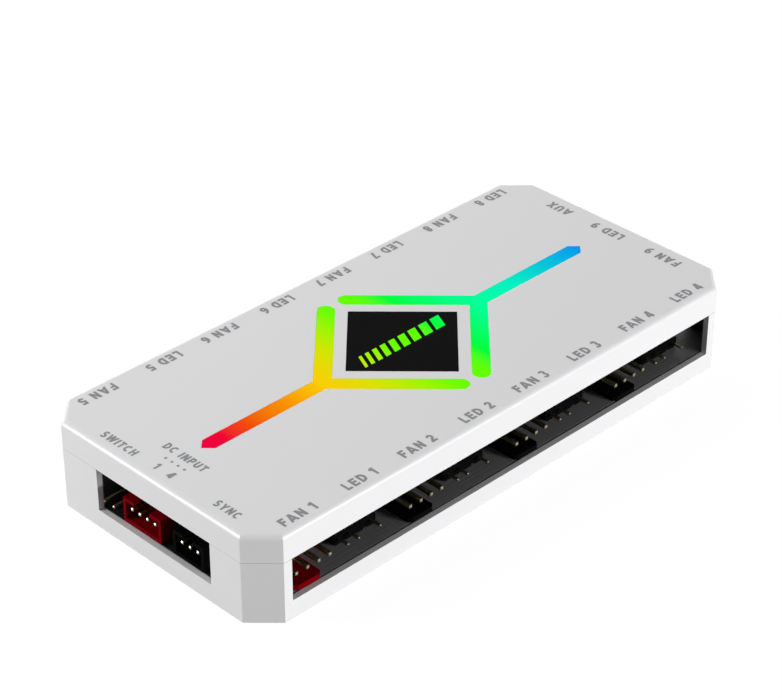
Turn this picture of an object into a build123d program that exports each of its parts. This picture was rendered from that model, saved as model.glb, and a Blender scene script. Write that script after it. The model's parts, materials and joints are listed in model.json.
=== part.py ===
# PC fan controller hub: a low case with cut corners, fan and light headers in long windows
# along both sides, power and control sockets at the ends, and forked light guides in the roof.
# Millimetres. Origin at the centre of the base, +X along the case to the right, +Z up.
# The front is the -Y side, and the left end is the -X end, with the power socket.

import os
from collections import namedtuple
from math import sqrt

from build123d import *

os.makedirs("parts", exist_ok=True)

# Case
case_length = 120.0
case_width = 56.0
case_height = 17.8
corner_cut = 5.0
wall = 1.4
roof_thickness = 1.8
floor_thickness = 1.2
cover_height = 5.5
top_edge_radius = 1.1
parting_gap = 0.06
lip_thickness = 1.0
lip_depth = 2.0
lip_clearance = 0.15

# Windows in the walls of the bottom shell
side_window_inset = 6.8
left_window_margins = (3.05, -0.74)
right_window_margins = (0.82, 1.09)
sill_drop = 0.1

# Circuit board
board_thickness = 1.6
board_standoff = 1.0
board_clearance = 0.1
pin_hole_diameter = 1.0
rest_diameter = 3.0
rest_inset = 4.0

# Layout of the board's parts: columns along the case, counted from its centre
layout_columns = 40
screw_column = 12
capacitor_column = 9
regulator_column = 15

# Case screws and what they pass through
screw_diameter = 2.5
screw_length = 9.0
screw_head_diameter = 4.6
screw_head_height = 1.0
screw_slot_width = 0.8
screw_slot_depth = 0.5
screw_clearance = 0.25
thread_clearance = 0.05
head_clearance = 0.2
boss_diameter = 6.0
pillar_diameter = 8.0
pillar_clearance = 2.08
pilot_spare = 0.6

# Badge and light guides in the roof
badge_size = 20.0
badge_thickness = 1.0
guide_width = 3.3
guide_end_inset = 12.0
guide_arm_length = 24.35
guide_arm_spacing = 5.3
guide_flange = 0.8
guide_flange_thickness = 1.0
chamber_wall = 1.0
chamber_clearance = 0.4
roof_fit = 0.05

# Pins, shared by all headers; the bare strips have thinner ones than the fan headers
header_pitch = 2.54
pin_size = 0.64
strip_pin_size = 0.45
pin_point = 0.18
pin_fit = 0.02
pin_tail = 0.8
pin_bend_radius = 0.5
pin_rear_run = 0.8

# Rows of ports along the sides
ports_per_side = 8
port_row_shift = -0.4

# Fan headers
fan_pins = 4
fan_pin_height = 3.2
fan_tip_depth = 1.5
fan_body_front = 8.8
fan_body_depth = 3.0
fan_body_height = 5.8
fan_body_chamfer = 0.5
fan_tab_front = 1.2
fan_tab_width = 6.0
fan_tab_overhang = 0.6
fan_tab_thickness = 1.0
fan_tab_corner = 0.6

# Light headers: one mark for each place, the third left without a pin
led_pattern = "xx-x"
led_pin_height = 1.27
led_tip_depth = 3.1
led_body_front = 5.8
header_body_depth = 2.5
header_segment_chamfer = 0.55

# Two-pin reset header and three-pin panel header
reset_pins = 2
panel_pins = 3
control_pin_height = 1.7
control_tip_depth = 0.7
control_body_front = 6.5

# Shrouded sockets for power and for the mainboard
socket_pitch = 2.0
socket_pin_size = 0.5
socket_pin_height = 3.0
socket_front = 1.2
socket_depth = 6.5
socket_height = 5.0
socket_wall = 0.7
socket_cavity = 5.0
socket_end_space = 1.95
socket_tip_recess = 0.2
power_pins = 4
power_keyway = 4.2
mainboard_pins = 3
mainboard_keyway = 2.3

# Clear spaces between the ports of each end and the rows along the sides, from front to rear
left_end_gaps = (2.73, 3.1, 1.01, 0.44)
right_end_gaps = (1.2, 2.64, 2.11, 3.46)

# Parts on the board
led_size = 3.5
led_height = 1.5
bar_leds = 3
arm_leds = 2
arm_led_reach = 0.8
chip_size = 7.0
chip_height = 1.2
chip_lift = 0.1
chip_legs = 8
chip_leg_pitch = 0.8
leg_width = 0.35
leg_length = 0.9
leg_thickness = 0.2
driver_x = 9.5
driver_y = 3.2
driver_length = 4.9
driver_width = 3.9
driver_height = 1.4
driver_legs = 4
driver_leg_pitch = 1.27
capacitor_y = 8.5
capacitor_diameter = 6.3
capacitor_height = 7.7
capacitor_rim = 0.6
regulator_y = 7.5
regulator_length = 6.5
regulator_width = 6.0
regulator_height = 2.3
resistor_y = 6.5
resistor_pitch = 2.6
resistor_count = 4
resistor_length = 2.0
resistor_width = 1.25
resistor_height = 0.6

# Heights that follow from the sizes above
parting_height = case_height - cover_height
ceiling_height = case_height - roof_thickness
board_bottom = floor_thickness + board_standoff
board_top = board_bottom + board_thickness
sill_height = board_top - sill_drop
side_window_width = case_length - 2 * side_window_inset
port_step = side_window_width / ports_per_side

# Places that follow the case's length and width
column = case_length / layout_columns
screw_x = screw_column * column
capacitor_x = capacitor_column * column
regulator_x = -regulator_column * column
fan_tail = fan_body_front + fan_body_depth + pin_rear_run
screw_y = case_width / 2 - fan_tail - pin_size / 2 - pillar_clearance - pillar_diameter / 2

# Plan of the light guides: the facing arms end a set distance apart, and the forks stand behind them
fork_x = guide_arm_spacing / 2 + guide_arm_length / sqrt(2)
guide_tip = case_length / 2 - guide_end_inset
guide_planes = {"right": Plane.XY, "left": Plane.XY.rotated((0, 0, 180))}

screw_points = [(x, y) for x in (-screw_x, screw_x) for y in (-screw_y, screw_y)]

PinRow = namedtuple("PinRow", "places tip height tail size")
Port = namedtuple("Port", "kind name plane")


def spread(count, pitch):
    """Places of a centred row of a given count and pitch."""
    return [pitch * (i - (count - 1) / 2) for i in range(count)]


def save(part, name):
    """Label a finished piece and write it under its own name."""
    part.label = name
    export_step(part, f"parts/{name}.step")


def case_plan(height, inset=0.0):
    """Plan of the case at a height: a rectangle with cut corners, drawn in by an inset all round."""
    with BuildSketch(Plane.XY.offset(height)) as plan:
        Rectangle(case_length - 2 * inset, case_width - 2 * inset)
        chamfer(plan.vertices(), corner_cut - inset * (2 - sqrt(2)))
    return plan.sketch


def lip_plan(height, inset_out, inset_in):
    """Ring inside the walls, kept only at the four corners, clear of every window."""
    end_span = max(abs(edge) for edge in left_window + right_window)
    with BuildSketch(Plane.XY.offset(height)) as plan:
        add(case_plan(0, inset_out))
        add(case_plan(0, inset_in), mode=Mode.SUBTRACT)
        Rectangle(side_window_width, case_width, mode=Mode.SUBTRACT)
        Rectangle(case_length, 2 * end_span, mode=Mode.SUBTRACT)
    return plan.sketch


def guide_plan(plane, grow=0.0):
    """Plan of one light guide: a bar with a pointed end that forks into two round-ended arms."""
    half = guide_width / 2 + grow
    tip = guide_tip + grow * sqrt(2)
    reach = guide_arm_length / sqrt(2)
    with BuildSketch(plane) as plan:
        with BuildLine():
            Polyline(
                (fork_x, -half), (tip - half, -half), (tip, 0), (tip - half, half), (fork_x, half), close=True
            )
        make_face()
        for turn in (-1, 1):
            with Locations((fork_x - reach / 2, turn * reach / 2)):
                SlotCenterToCenter(guide_arm_length, 2 * half, rotation=-45 * turn)
    return plan.sketch


def badge_plan(height, grow=0.0):
    """Plan of the square badge, which stands on its corner."""
    with BuildSketch(Plane.XY.offset(height)) as plan:
        Rectangle(badge_size + 2 * grow, badge_size + 2 * grow, rotation=45)
    return plan.sketch


def port_plane(side, place):
    """Frame of a port on the board: X to the right as seen from outside, Y into the case, Z up."""
    if side == "front":
        return Plane((place, -case_width / 2, board_top), x_dir=(1, 0, 0), z_dir=(0, 0, 1))
    if side == "rear":
        return Plane((place, case_width / 2, board_top), x_dir=(-1, 0, 0), z_dir=(0, 0, 1))
    if side == "left":
        return Plane((-case_length / 2, place, board_top), x_dir=(0, -1, 0), z_dir=(0, 0, 1))
    return Plane((case_length / 2, place, board_top), x_dir=(0, 1, 0), z_dir=(0, 0, 1))


def port_face(port, depth):
    """Upright plane across a port at a depth behind the wall's face: X to the right, Y up."""
    return Plane(port.origin, x_dir=port.x_dir, z_dir=-port.y_dir).offset(-depth)


def pin_plane(port, place):
    """Upright plane through one pin of a port: X into the case, Y up."""
    return Plane(port.origin + port.x_dir * place, x_dir=port.y_dir, z_dir=port.x_dir)


def pin_openings(port, depth, row):
    """Square openings for a row of pins, on the plane across a port at a depth."""
    opening = row.size + 2 * pin_fit
    with BuildSketch(port_face(port, depth)) as plan:
        with Locations(*[(place, row.height) for place in row.places]):
            Rectangle(opening, opening)
    return plan.sketch


def bent_pins(port, row):
    """Right-angle pins: a level run from a blunt point, a bend, and a tail through the board."""
    half = row.size / 2
    foot = -board_thickness - pin_tail
    with BuildPart() as pins:
        for place in row.places:
            with BuildSketch(pin_plane(port, place)) as side:
                with BuildLine():
                    Polyline(
                        (row.tip, row.height - half),
                        (row.tail - half, row.height - half),
                        (row.tail - half, foot),
                        (row.tail + half, foot),
                        (row.tail + half, row.height + half),
                        (row.tip, row.height + half),
                        close=True,
                    )
                make_face()
                fillet(side.vertices().group_by(Axis.Y)[-1].sort_by(Axis.X)[-1], pin_bend_radius)
            extrude(amount=half, both=True)
        inward = Axis(port.origin, port.y_dir)
        points = pins.edges().group_by(inward)[0]
        chamfer(points, pin_point)
    return pins.part


def fan_row():
    """Pins of a fan header."""
    return PinRow(spread(fan_pins, header_pitch), fan_tip_depth, fan_pin_height, fan_tail, pin_size)


def led_row():
    """Pins of a light header, without the one that is left out."""
    all_places = spread(len(led_pattern), header_pitch)
    places = [place for place, mark in zip(all_places, led_pattern) if mark == "x"]
    tail = led_body_front + header_body_depth + pin_rear_run
    return PinRow(places, led_tip_depth, led_pin_height, tail, strip_pin_size)


def control_row(count):
    """Pins of the reset header and of the panel header."""
    tail = control_body_front + header_body_depth + pin_rear_run
    places = spread(count, header_pitch)
    return PinRow(places, control_tip_depth, control_pin_height, tail, strip_pin_size)


def socket_row(count):
    """Pins of a shrouded socket."""
    tail = socket_front + socket_depth + pin_rear_run
    tip = socket_front + socket_tip_recess
    return PinRow(spread(count, socket_pitch), tip, socket_pin_height, tail, socket_pin_size)


def fan_housing(port):
    """Fan header's moulding: a block behind the pins and a flat locking tab under three of them."""
    row = fan_row()
    tab_left = row.places[0] - fan_tab_overhang
    with BuildPart() as housing:
        with BuildSketch(port):
            with Locations((0, fan_body_front + fan_body_depth / 2)):
                Rectangle(fan_pins * header_pitch, fan_body_depth)
        extrude(amount=fan_body_height)
        chamfer(housing.faces().sort_by(Axis.Z)[-1].edges(), fan_body_chamfer)
        with BuildSketch(port) as tab:
            with Locations((tab_left, fan_tab_front)):
                Rectangle(fan_tab_width, fan_body_front - fan_tab_front, align=Align.MIN)
            chamfer(tab.vertices().group_by(Axis.Y)[0], fan_tab_corner)
        extrude(amount=fan_tab_thickness)
        extrude(pin_openings(port, fan_body_front, row), amount=-fan_body_depth, mode=Mode.SUBTRACT)
    return housing.part


def strip_housing(port, count, pin_height, front, row):
    """Bare pin strip's moulding: one eight-sided segment for each place, with its pin openings."""
    height = pin_height + header_pitch / 2
    with BuildPart() as housing:
        with BuildSketch(port_face(port, front)):
            for place in spread(count, header_pitch):
                with BuildSketch(mode=Mode.PRIVATE) as segment:
                    Rectangle(header_pitch, height)
                    chamfer(segment.vertices(), header_segment_chamfer)
                with Locations((place, height / 2)):
                    add(segment.sketch)
        extrude(amount=-header_body_depth)
        extrude(pin_openings(port, front, row), amount=-header_body_depth, mode=Mode.SUBTRACT)
    return housing.part


def socket_width(count):
    """Outer width of a shrouded socket."""
    return (count - 1) * socket_pitch + 2 * socket_end_space


def socket_housing(port, count, keyway, row):
    """Shrouded socket's moulding: an open box with a keyway in its upper wall."""
    width = socket_width(count)
    with BuildPart() as housing:
        with BuildSketch(port_face(port, socket_front)):
            with Locations((0, socket_height / 2)):
                Rectangle(width, socket_height)
        extrude(amount=-socket_depth)
        with BuildSketch(port_face(port, socket_front)):
            with Locations((0, socket_height / 2)):
                Rectangle(width - 2 * socket_wall, socket_height - 2 * socket_wall)
            with Locations((0, socket_height)):
                Rectangle(keyway, 4 * socket_wall)
        extrude(amount=-socket_cavity, mode=Mode.SUBTRACT)
        extrude(pin_openings(port, socket_front, row), amount=-socket_depth, mode=Mode.SUBTRACT)
    return housing.part


def end_places(widths, gaps, row):
    """Places of an end's ports: what the side rows leave free is shared out between the gaps."""
    reach = case_width / 2 - row.tail - row.size / 2
    ease = (2 * reach - sum(widths)) / sum(gaps)
    places = []
    edge = -reach
    for width, gap in zip(widths, gaps):
        places.append(edge + ease * gap + width / 2)
        edge = edge + ease * gap + width
    return places


def end_window(places, widths, margins):
    """Front and rear edges of an end's window: a margin beyond its outermost ports."""
    front = places[0] - widths[0] / 2 - margins[0]
    rear = places[-1] + widths[-1] / 2 + margins[1]
    return front, rear


def port_list():
    """Every port: fan and light headers by turns along both sides, then those at the ends."""
    mainboard_y, power_y, reset_y = left_places
    fan_y, led_y, panel_y = right_places
    ports = []
    for side in ("front", "rear"):
        for step, place in enumerate(spread(ports_per_side, port_step)):
            kind = "fan" if step % 2 == 0 else "led"
            plane = port_plane(side, place + port_row_shift)
            ports.append(Port(kind, f"{side}_{step // 2 + 1}", plane))
    ports.append(Port("fan", "right", port_plane("right", fan_y)))
    ports.append(Port("led", "right", port_plane("right", led_y)))
    ports.append(Port("panel", "", port_plane("right", panel_y)))
    ports.append(Port("reset", "", port_plane("left", reset_y)))
    ports.append(Port("power", "", port_plane("left", power_y)))
    ports.append(Port("mainboard", "", port_plane("left", mainboard_y)))
    return ports


pin_rows = {
    "fan": fan_row(),
    "led": led_row(),
    "panel": control_row(panel_pins),
    "reset": control_row(reset_pins),
    "power": socket_row(power_pins),
    "mainboard": socket_row(mainboard_pins),
}

# Ports and windows of the ends, each from front to rear
left_widths = (socket_width(mainboard_pins), socket_width(power_pins), reset_pins * header_pitch)
right_widths = (fan_pins * header_pitch, len(led_pattern) * header_pitch, panel_pins * header_pitch)
left_places = end_places(left_widths, left_end_gaps, fan_row())
right_places = end_places(right_widths, right_end_gaps, led_row())
left_window = end_window(left_places, left_widths, left_window_margins)
right_window = end_window(right_places, right_widths, right_window_margins)
ports = port_list()

# Top cover: roof and skirt with a rounded upper edge, slots for the guides, a pocket for the
# badge, corner lips that locate it in the bottom shell, bosses down to the board, and walls
# round each guide that keep its light to itself, down to just above the fan headers
with BuildPart() as top_cover:
    extrude(case_plan(parting_height), amount=cover_height)
    fillet(top_cover.faces().sort_by(Axis.Z)[-1].edges(), top_edge_radius)
    extrude(case_plan(parting_height, wall), amount=cover_height - roof_thickness, mode=Mode.SUBTRACT)
    lip_inner = wall + lip_clearance + lip_thickness
    extrude(lip_plan(parting_height, wall, lip_inner), amount=cover_height - roof_thickness)
    extrude(lip_plan(parting_height, wall + lip_clearance, lip_inner), amount=-lip_depth)
    with Locations(*[(x, y, board_top) for x, y in screw_points]):
        Cylinder(
            boss_diameter / 2,
            ceiling_height - board_top,
            align=(Align.CENTER, Align.CENTER, Align.MIN),
        )
        Cylinder(
            screw_diameter / 2 + thread_clearance,
            screw_length - board_thickness - board_standoff + pilot_spare,
            align=(Align.CENTER, Align.CENTER, Align.MIN),
            mode=Mode.SUBTRACT,
        )
    with BuildSketch(Plane.XY.offset(ceiling_height)):
        chamber_inside = guide_flange + chamber_clearance
        for plane in guide_planes.values():
            add(guide_plan(plane, chamber_inside + chamber_wall))
        for plane in guide_planes.values():
            add(guide_plan(plane, chamber_inside), mode=Mode.SUBTRACT)
    extrude(amount=board_top + fan_body_height + chamber_clearance - ceiling_height)
    for plane in guide_planes.values():
        slot = guide_plan(plane.offset(ceiling_height), roof_fit)
        extrude(slot, amount=roof_thickness, mode=Mode.SUBTRACT)
    pocket = badge_plan(case_height - badge_thickness, roof_fit)
    extrude(pocket, amount=badge_thickness, mode=Mode.SUBTRACT)
save(top_cover.part, "top_cover")

# Bottom shell: floor and walls, windows open at the parting line, pillars with recessed screw
# holes, and rests along the edge of the board
with BuildPart() as bottom_shell:
    extrude(case_plan(0), amount=parting_height - parting_gap)
    extrude(case_plan(floor_thickness, wall), amount=parting_height, mode=Mode.SUBTRACT)
    with BuildSketch(Plane.XY.offset(sill_height)):
        Rectangle(side_window_width, case_width)
        for end_x, (front, rear) in ((-case_length / 2, left_window), (case_length / 2, right_window)):
            with Locations((end_x, (front + rear) / 2)):
                Rectangle(2 * side_window_inset, rear - front)
    extrude(amount=parting_height - sill_height, mode=Mode.SUBTRACT)
    with BuildSketch(Plane.XY.offset(floor_thickness)):
        with Locations(*screw_points):
            Circle(pillar_diameter / 2)
        with GridLocations(side_window_width / 2, case_width - 2 * (wall + rest_inset), 3, 2):
            Circle(rest_diameter / 2)
    extrude(amount=board_standoff)
    with Locations(*[Location((x, y, 0), (180, 0, 0)) for x, y in screw_points]):
        CounterBoreHole(
            radius=screw_diameter / 2 + screw_clearance,
            counter_bore_radius=screw_head_diameter / 2 + head_clearance,
            counter_bore_depth=floor_thickness,
            depth=board_bottom,
        )
save(bottom_shell.part, "bottom_shell")

# Light guides: each stands flush in its slot and bears on the roof's underside with a flange
for side, plane in guide_planes.items():
    with BuildPart() as light_guide:
        extrude(guide_plan(plane.offset(ceiling_height)), amount=roof_thickness)
        extrude(guide_plan(plane.offset(ceiling_height), guide_flange), amount=-guide_flange_thickness)
    save(light_guide.part, f"light_guide_{side}")

# Badge: a flat tile in its pocket
with BuildPart() as badge_panel:
    extrude(badge_plan(case_height - badge_thickness), amount=badge_thickness)
save(badge_panel.part, "badge_panel")

# Case screws: recessed heads with a cross slot, shanks through the board into the cover's bosses
with BuildPart() as case_screws:
    with BuildSketch(Plane.XY.offset(floor_thickness)):
        with Locations(*screw_points):
            Circle(screw_head_diameter / 2)
    extrude(amount=-screw_head_height)
    with BuildSketch(Plane.XY.offset(floor_thickness)):
        with Locations(*screw_points):
            Circle(screw_diameter / 2)
    extrude(amount=screw_length)
    with BuildSketch(Plane.XY.offset(floor_thickness - screw_head_height)):
        with Locations(*screw_points):
            Rectangle(screw_head_diameter - 2 * screw_slot_width, screw_slot_width)
            Rectangle(screw_slot_width, screw_head_diameter - 2 * screw_slot_width)
    extrude(amount=screw_slot_depth, mode=Mode.SUBTRACT)
save(case_screws.part, "case_screws")

# Circuit board: fills the shell with an even gap, with holes for the screws and for every pin
pin_points = [
    port.plane.from_local_coords(Vector(place, pin_rows[port.kind].tail, 0))
    for port in ports
    for place in pin_rows[port.kind].places
]
with BuildPart() as main_board:
    extrude(case_plan(board_bottom, wall + board_clearance), amount=board_thickness)
    with BuildSketch(Plane.XY.offset(board_bottom)):
        with Locations(*screw_points):
            Circle(screw_diameter / 2 + screw_clearance)
        with Locations(*[(point.X, point.Y) for point in pin_points]):
            Circle(pin_hole_diameter / 2)
    extrude(amount=board_thickness, mode=Mode.SUBTRACT)
save(main_board.part, "main_board")

# Headers and sockets, each a moulding and its set of pins
for port in ports:
    row = pin_rows[port.kind]
    ending = f"_{port.name}" if port.name else ""
    if port.kind == "fan":
        save(fan_housing(port.plane), f"fan_header{ending}")
    elif port.kind == "led":
        housing = strip_housing(port.plane, len(led_pattern), led_pin_height, led_body_front, row)
        save(housing, f"led_header{ending}")
    elif port.kind in ("panel", "reset"):
        count = len(row.places)
        housing = strip_housing(port.plane, count, control_pin_height, control_body_front, row)
        save(housing, f"{port.kind}_header")
    else:
        keyway = power_keyway if port.kind == "power" else mainboard_keyway
        save(socket_housing(port.plane, len(row.places), keyway, row), f"{port.kind}_socket")
    save(bent_pins(port.plane, row), f"{port.kind}_pins{ending}")

# Light sources on the board: a row under each guide's bar and a few under its arms
bar_points = [
    fork_x + (guide_tip - fork_x) * (i + 0.5) / bar_leds
    for i in range(bar_leds)
]
arm_points = [
    arm_led_reach * guide_arm_length * (i + 0.5) / arm_leds / sqrt(2)
    for i in range(arm_leds)
]
with BuildPart() as light_leds:
    for plane in guide_planes.values():
        with BuildSketch(plane.offset(board_top)):
            with Locations(*[(x, 0) for x in bar_points]):
                Rectangle(led_size, led_size)
            with Locations(*[(fork_x - d, turn * d) for d in arm_points for turn in (-1, 1)]):
                Rectangle(led_size, led_size)
    extrude(amount=led_height)
save(light_leds.part, "light_leds")

# Controller chip: a square body on a row of legs along each side
with BuildPart() as controller_chip:
    with BuildSketch(Plane.XY.offset(board_top + chip_lift)):
        Rectangle(chip_size, chip_size)
    extrude(amount=chip_height)
    with BuildSketch(Plane.XY.offset(board_top)):
        with GridLocations(chip_leg_pitch, chip_size, chip_legs, 2):
            Rectangle(leg_width, 2 * leg_length)
        with GridLocations(chip_size, chip_leg_pitch, 2, chip_legs):
            Rectangle(2 * leg_length, leg_width)
    extrude(amount=chip_lift + leg_thickness)
save(controller_chip.part, "controller_chip")

# Driver chips beside the controller
driver_points = [(x, y) for x in (-driver_x, driver_x) for y in (-driver_y, driver_y)]
with BuildPart() as driver_chips:
    with BuildSketch(Plane.XY.offset(board_top + chip_lift)):
        with Locations(*driver_points):
            Rectangle(driver_length, driver_width)
    extrude(amount=driver_height)
    with BuildSketch(Plane.XY.offset(board_top)):
        for x, y in driver_points:
            for step in spread(driver_legs, driver_leg_pitch):
                with Locations((x + step, y)):
                    Rectangle(leg_width, driver_width + 2 * leg_length)
    extrude(amount=chip_lift + leg_thickness)
save(driver_chips.part, "driver_chips")

# Capacitors: cans with a rounded top
with BuildPart() as capacitors:
    with BuildSketch(Plane.XY.offset(board_top)):
        with GridLocations(2 * capacitor_x, 2 * capacitor_y, 2, 2):
            Circle(capacitor_diameter / 2)
    extrude(amount=capacitor_height)
    fillet(capacitors.edges().group_by(Axis.Z)[-1], capacitor_rim)
save(capacitors.part, "capacitors")

# Voltage regulator near the power socket
with BuildPart() as regulator:
    with BuildSketch(Plane.XY.offset(board_top)):
        with Locations((regulator_x, regulator_y)):
            Rectangle(regulator_length, regulator_width)
    extrude(amount=regulator_height)
save(regulator.part, "regulator")

# Chip resistors in two short rows
with BuildPart() as chip_resistors:
    with BuildSketch(Plane.XY.offset(board_top)):
        with GridLocations(resistor_pitch, 2 * resistor_y, resistor_count, 2):
            Rectangle(resistor_width, resistor_length)
    extrude(amount=resistor_height)
save(chip_resistors.part, "chip_resistors")
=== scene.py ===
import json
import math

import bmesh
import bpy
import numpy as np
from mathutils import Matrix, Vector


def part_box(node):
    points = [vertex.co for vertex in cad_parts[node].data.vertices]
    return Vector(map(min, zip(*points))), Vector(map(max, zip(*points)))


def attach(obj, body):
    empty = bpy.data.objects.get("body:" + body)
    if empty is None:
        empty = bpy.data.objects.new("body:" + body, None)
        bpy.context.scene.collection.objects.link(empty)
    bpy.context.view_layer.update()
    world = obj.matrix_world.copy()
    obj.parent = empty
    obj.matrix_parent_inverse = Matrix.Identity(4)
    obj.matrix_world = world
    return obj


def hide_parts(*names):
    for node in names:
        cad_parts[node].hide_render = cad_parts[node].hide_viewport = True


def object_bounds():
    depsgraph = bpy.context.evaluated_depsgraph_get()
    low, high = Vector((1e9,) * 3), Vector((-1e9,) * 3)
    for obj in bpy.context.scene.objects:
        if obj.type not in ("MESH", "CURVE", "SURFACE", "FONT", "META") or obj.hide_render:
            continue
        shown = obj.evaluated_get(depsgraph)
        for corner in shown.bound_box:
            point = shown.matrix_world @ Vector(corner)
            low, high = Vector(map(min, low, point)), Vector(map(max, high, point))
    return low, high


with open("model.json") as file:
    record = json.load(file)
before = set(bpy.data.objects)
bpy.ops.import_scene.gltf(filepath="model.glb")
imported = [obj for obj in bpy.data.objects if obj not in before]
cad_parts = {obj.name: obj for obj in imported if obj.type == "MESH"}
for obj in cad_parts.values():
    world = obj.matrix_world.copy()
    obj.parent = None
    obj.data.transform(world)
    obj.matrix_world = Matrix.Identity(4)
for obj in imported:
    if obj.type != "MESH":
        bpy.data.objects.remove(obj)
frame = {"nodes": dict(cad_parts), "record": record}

# %% [markdown]
# # Dressing a fan hub
# The frame above is the hub as the solid modeller made it: a white case of two mouldings, a circuit board,
# rows of pin headers, two light guides and a badge. This lesson gives every piece the finish it has on the
# real product, adds what is printed on the case, and sets up the studio that the picture was taken in.
# Lengths are in metres, so one millimetre is written as 1 * MM.

MM = 0.001
cad_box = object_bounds()
nodes = frame["nodes"]
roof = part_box("top_cover")[1].z
print("CAD nodes", len(nodes), "roof at", round(roof / MM, 2), "mm")

# %% [markdown]
# # Helpers for finishes
# A finish is a small graph of nodes, and the same few steps come back in all of them: a node with its
# settings, the place of a point on the object, a sum, a share of the way between two values, and a mix of
# two tones. They are written once here. Everything is fixed to the object, so no texture slides when the
# hub is moved.

# %% Nodes and sums
def new_material(name, settings):
    """A material with one Principled shader, whose named sockets take the given constants."""
    material = bpy.data.materials.new(name)
    material.use_nodes = True
    tree = material.node_tree
    shader = next(node for node in tree.nodes if node.type == "BSDF_PRINCIPLED")
    for socket, value in settings.items():
        shader.inputs[socket].default_value = value
    return material, tree, shader


def add_node(tree, kind, **settings):
    """A node of one kind, with the given properties, or inputs where the name is one of its sockets."""
    node = tree.nodes.new("ShaderNode" + kind)
    for name, value in settings.items():
        socket = name.replace("_", " ")
        if socket in node.inputs:
            node.inputs[socket].default_value = value
        else:
            setattr(node, name, value)
    return node


def calculate(tree, operation, first, second=0.0):
    """One sum of two values, each a socket or a number."""
    node = add_node(tree, "Math", operation=operation)
    for socket, value in zip(node.inputs, (first, second)):
        if isinstance(value, float):
            socket.default_value = value
        else:
            tree.links.new(value, socket)
    return node.outputs["Value"]


def object_place(tree):
    """The x, y and z of a point on the object."""
    place = add_node(tree, "TexCoord")
    split = add_node(tree, "SeparateXYZ")
    tree.links.new(place.outputs["Object"], split.inputs["Vector"])
    return split.outputs["X"], split.outputs["Y"], split.outputs["Z"]


print("helpers: material, node, sum and place")

# %% Shares, tones and noise
def between(tree, value, low, high, **settings):
    """A value as its share of the way from low to high, held between 0 and 1."""
    share = add_node(tree, "MapRange", From_Min=low, From_Max=high, **settings)
    tree.links.new(value, share.inputs["Value"])
    return share.outputs["Result"]


def two_tones(tree, share, first, second):
    """Colour that runs from the first tone to the second as the share goes from 0 to 1."""
    ramp = add_node(tree, "ValToRGB")
    ramp.color_ramp.elements[0].color = first
    ramp.color_ramp.elements[1].color = second
    tree.links.new(share, ramp.inputs["Fac"])
    return ramp.outputs["Color"]


def object_noise(tree, size, detail=2.0):
    """Noise with features of about the given size, fixed to the object."""
    place = add_node(tree, "TexCoord")
    noise = add_node(tree, "TexNoise", Scale=1.0 / size, Detail=detail)
    tree.links.new(place.outputs["Object"], noise.inputs["Vector"])
    return noise.outputs["Fac"]


def spread_to(tree, source, low, high, socket):
    """Carries a value from 0 to 1 to a socket as a value from low to high."""
    spread = add_node(tree, "MapRange", To_Min=low, To_Max=high)
    tree.links.new(source, spread.inputs["Value"])
    tree.links.new(spread.outputs["Result"], socket)


def mix_colours(tree, share, first, second, target):
    """Mixes two colours by a share from 0 to 1 into a socket. A colour is a socket or four numbers."""
    mix = add_node(tree, "Mix", data_type="RGBA")
    colours = [socket for socket in mix.inputs if socket.type == "RGBA"]
    for socket, colour in zip(colours, (first, second)):
        if isinstance(colour, tuple):
            socket.default_value = colour
        else:
            tree.links.new(colour, socket)
    tree.links.new(share, mix.inputs["Factor"])
    tree.links.new(next(socket for socket in mix.outputs if socket.type == "RGBA"), target)


print("helpers: share, tones, noise and mix")

# %% [markdown]
# # Finishes
# Moulded plastic is never a flat colour. The mould's steel is spark-eroded to a fine grain, the gloss
# changes a little from place to place as the melt cools, and every sharp corner has a tiny radius that
# catches light. One recipe makes all the plastics here: a grain for the bump, a slow noise for the gloss,
# and a bevelled normal for the corners. Metal, circuit board and lit plastic have recipes of their own.

# %% Recipes for the finishes
GRAIN_STRENGTH, BEVEL_SAMPLES = 0.35, 6
GLOSS_CLOUD, TARNISH_PATCH = 6 * MM, 0.8 * MM
METAL_GRAIN, METAL_DEPTH = 0.15 * MM, 0.004 * MM


def grain_and_corners(tree, shader, grain, depth, corner):
    """Bump of a fine grain over normals that are rounded at the corners by a small radius."""
    rounded = add_node(tree, "Bevel", samples=BEVEL_SAMPLES, Radius=corner)
    bump = add_node(tree, "Bump", Strength=GRAIN_STRENGTH, Distance=depth)
    tree.links.new(object_noise(tree, grain, 3.0), bump.inputs["Height"])
    tree.links.new(rounded.outputs["Normal"], bump.inputs["Normal"])
    tree.links.new(bump.outputs["Normal"], shader.inputs["Normal"])


def plastic(name, colour, gloss, grain=0.12 * MM, depth=0.01 * MM, corner=0.12 * MM, shine=0.5):
    """Moulded plastic: gloss is the range of roughness, grain and depth the texture of the mould."""
    material, tree, shader = new_material(name, {"Base Color": colour, "Specular IOR Level": shine})
    spread_to(tree, object_noise(tree, GLOSS_CLOUD), *gloss, shader.inputs["Roughness"])
    grain_and_corners(tree, shader, grain, depth, corner)
    return material


def metal(name, colour, dull, gloss):
    """Plated metal, which is duller and darker in patches: colour is the bright one, dull the other."""
    material, tree, shader = new_material(name, {"Metallic": 1.0})
    patches = object_noise(tree, TARNISH_PATCH, 4.0)
    mix_colours(tree, patches, colour, dull, shader.inputs["Base Color"])
    spread_to(tree, patches, *gloss, shader.inputs["Roughness"])
    grain_and_corners(tree, shader, METAL_GRAIN, METAL_DEPTH, 0.08 * MM)
    return material


print("recipes for plastic and metal")

# %% [markdown]
# # The finish of each piece
# The record names a slot for every solid, so one material for each slot dresses the whole frame. The pins
# are plated brass, the headers glass-filled nylon, and the board has a black mask over its copper. Because
# these are small things seen close up, their textures are a tenth of a millimetre across.

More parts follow.
